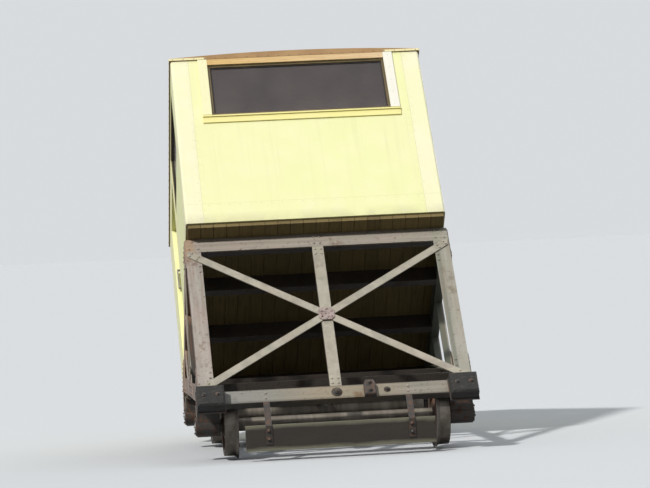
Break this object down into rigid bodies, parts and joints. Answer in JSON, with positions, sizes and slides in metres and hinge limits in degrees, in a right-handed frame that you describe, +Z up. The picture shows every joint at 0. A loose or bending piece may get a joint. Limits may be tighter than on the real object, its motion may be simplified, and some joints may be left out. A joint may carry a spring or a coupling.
{
  "type": "funicular car",
  "caption": "Inclined railway car with a level hollow cabin on a braced wedge frame, a long end window, sliding side doors and turning flanged wheelsets",
  "frame": {"origin": "the centre of the haul-rope eye at the uphill end, under the floor, on the car's centre plane", "axes": "X across the track, to the right when looking uphill; Y level and uphill; Z up. The rails rise towards +Y at 42 degrees"},
  "size_m": [2.656, 2.848, 4.9282],
  "materials": {
    "cream_paint": "weathered gloss paint",
    "frame_grey": "weathered flat paint with rust",
    "roof_paint": "weathered flat paint",
    "floor_timber": "dark oiled planks",
    "bench_wood": "varnished",
    "sash_paint": "painted",
    "trim_paint": "painted",
    "tan_paint": "weathered paint",
    "glass": "dark window glass",
    "dark_iron": "greasy, dusty",
    "axle_steel": "dull",
    "black_rubber": "dull",
    "rusty_steel": "rusty",
    "rail_steel": "dull"
  },
  "bodies": {
    "car": {"floor_planks": "floor_timber", "end_wall_low": "cream_paint", "end_wall_high": "cream_paint", "corner_panels": "cream_paint", "jamb_strips": "trim_paint", "header_strips": "tan_paint", "window_sills": "cream_paint", "side_wall_right": "cream_paint", "side_wall_left": "cream_paint", "roof": "roof_paint", "roof_battens": "roof_paint", "window_sashes": "sash_paint", "window_panes": "glass", "door_rails": "rail_steel", "door_guides": "rail_steel", "bench_boards": "bench_wood", "bench_stands": "bench_wood", "top_beam": "frame_grey", "foot_beam": "frame_grey", "end_posts": "frame_grey", "end_upright": "frame_grey", "end_braces": "frame_grey", "brace_plate": "frame_grey", "top_chords": "frame_grey", "slope_chords": "frame_grey", "side_struts": "frame_grey", "side_gussets": "frame_grey", "side_braces": "frame_grey", "cross_beams": "frame_grey", "tail_beam": "frame_grey", "draw_plates": "dark_iron", "rope_lug": "dark_iron", "axle_boxes": "dark_iron", "box_covers": "dark_iron", "box_pads": "black_rubber", "guard_plate": "frame_grey", "guard_straps": "frame_grey", "buffer_backs": "frame_grey", "end_buffers": "black_rubber", "beam_bracket": "rusty_steel"},
    "wheelset_low": {"axle_low": "axle_steel", "wheels_low": "dark_iron"},
    "wheelset_high": {"axle_high": "axle_steel", "wheels_high": "dark_iron"},
    "sliding_door_right": {"door_right": "cream_paint", "door_glass_right": "glass", "door_fittings_right": "rail_steel"},
    "sliding_door_left": {"door_left": "cream_paint", "door_glass_left": "glass", "door_fittings_left": "rail_steel"}
  },
  "joints": [
    {"name": "wheelset_low_spin", "type": "hinge", "parent": "car", "child": "wheelset_low", "pos_m": [0, -1.89073, -1.50058], "axis": [1, 0, 0], "continuous": true},
    {"name": "wheelset_high_spin", "type": "hinge", "parent": "car", "child": "wheelset_high", "pos_m": [0, -0.41249, -0.16956], "axis": [1, 0, 0], "continuous": true},
    {"name": "door_right_slide", "type": "slide", "parent": "car", "child": "sliding_door_right", "axis": [0, -1, 0], "range_m": [0, 0.69]},
    {"name": "door_left_slide", "type": "slide", "parent": "car", "child": "sliding_door_left", "axis": [0, -1, 0], "range_m": [0, 0.69]}
  ]
}
